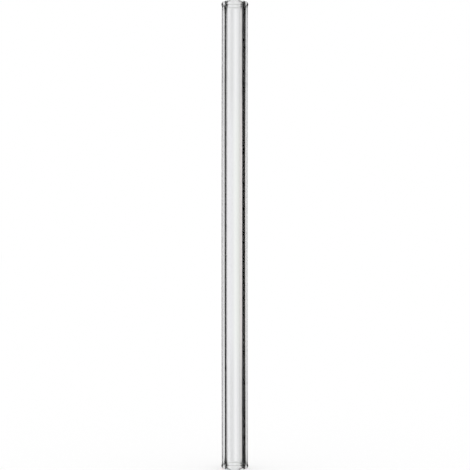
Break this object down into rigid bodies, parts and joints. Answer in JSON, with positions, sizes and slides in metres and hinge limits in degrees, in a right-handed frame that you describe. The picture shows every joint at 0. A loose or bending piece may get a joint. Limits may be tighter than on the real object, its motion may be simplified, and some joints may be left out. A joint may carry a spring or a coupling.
{
  "type": "glass condenser tube",
  "caption": "Straight heavy-walled clear glass tube, open at both ends, with melted round lips.",
  "frame": {"origin": "on the tube's axis at mid-length", "axes": "+Z along the tube's axis; the two ends are alike, so either may be up"},
  "size_m": [0.0126, 0.0124, 0.215],
  "materials": {
    "clear_glass": "clear, drawn, with melted lips"
  },
  "bodies": {
    "root": {"glass_tube": "clear_glass"}
  },
  "joints": []
}
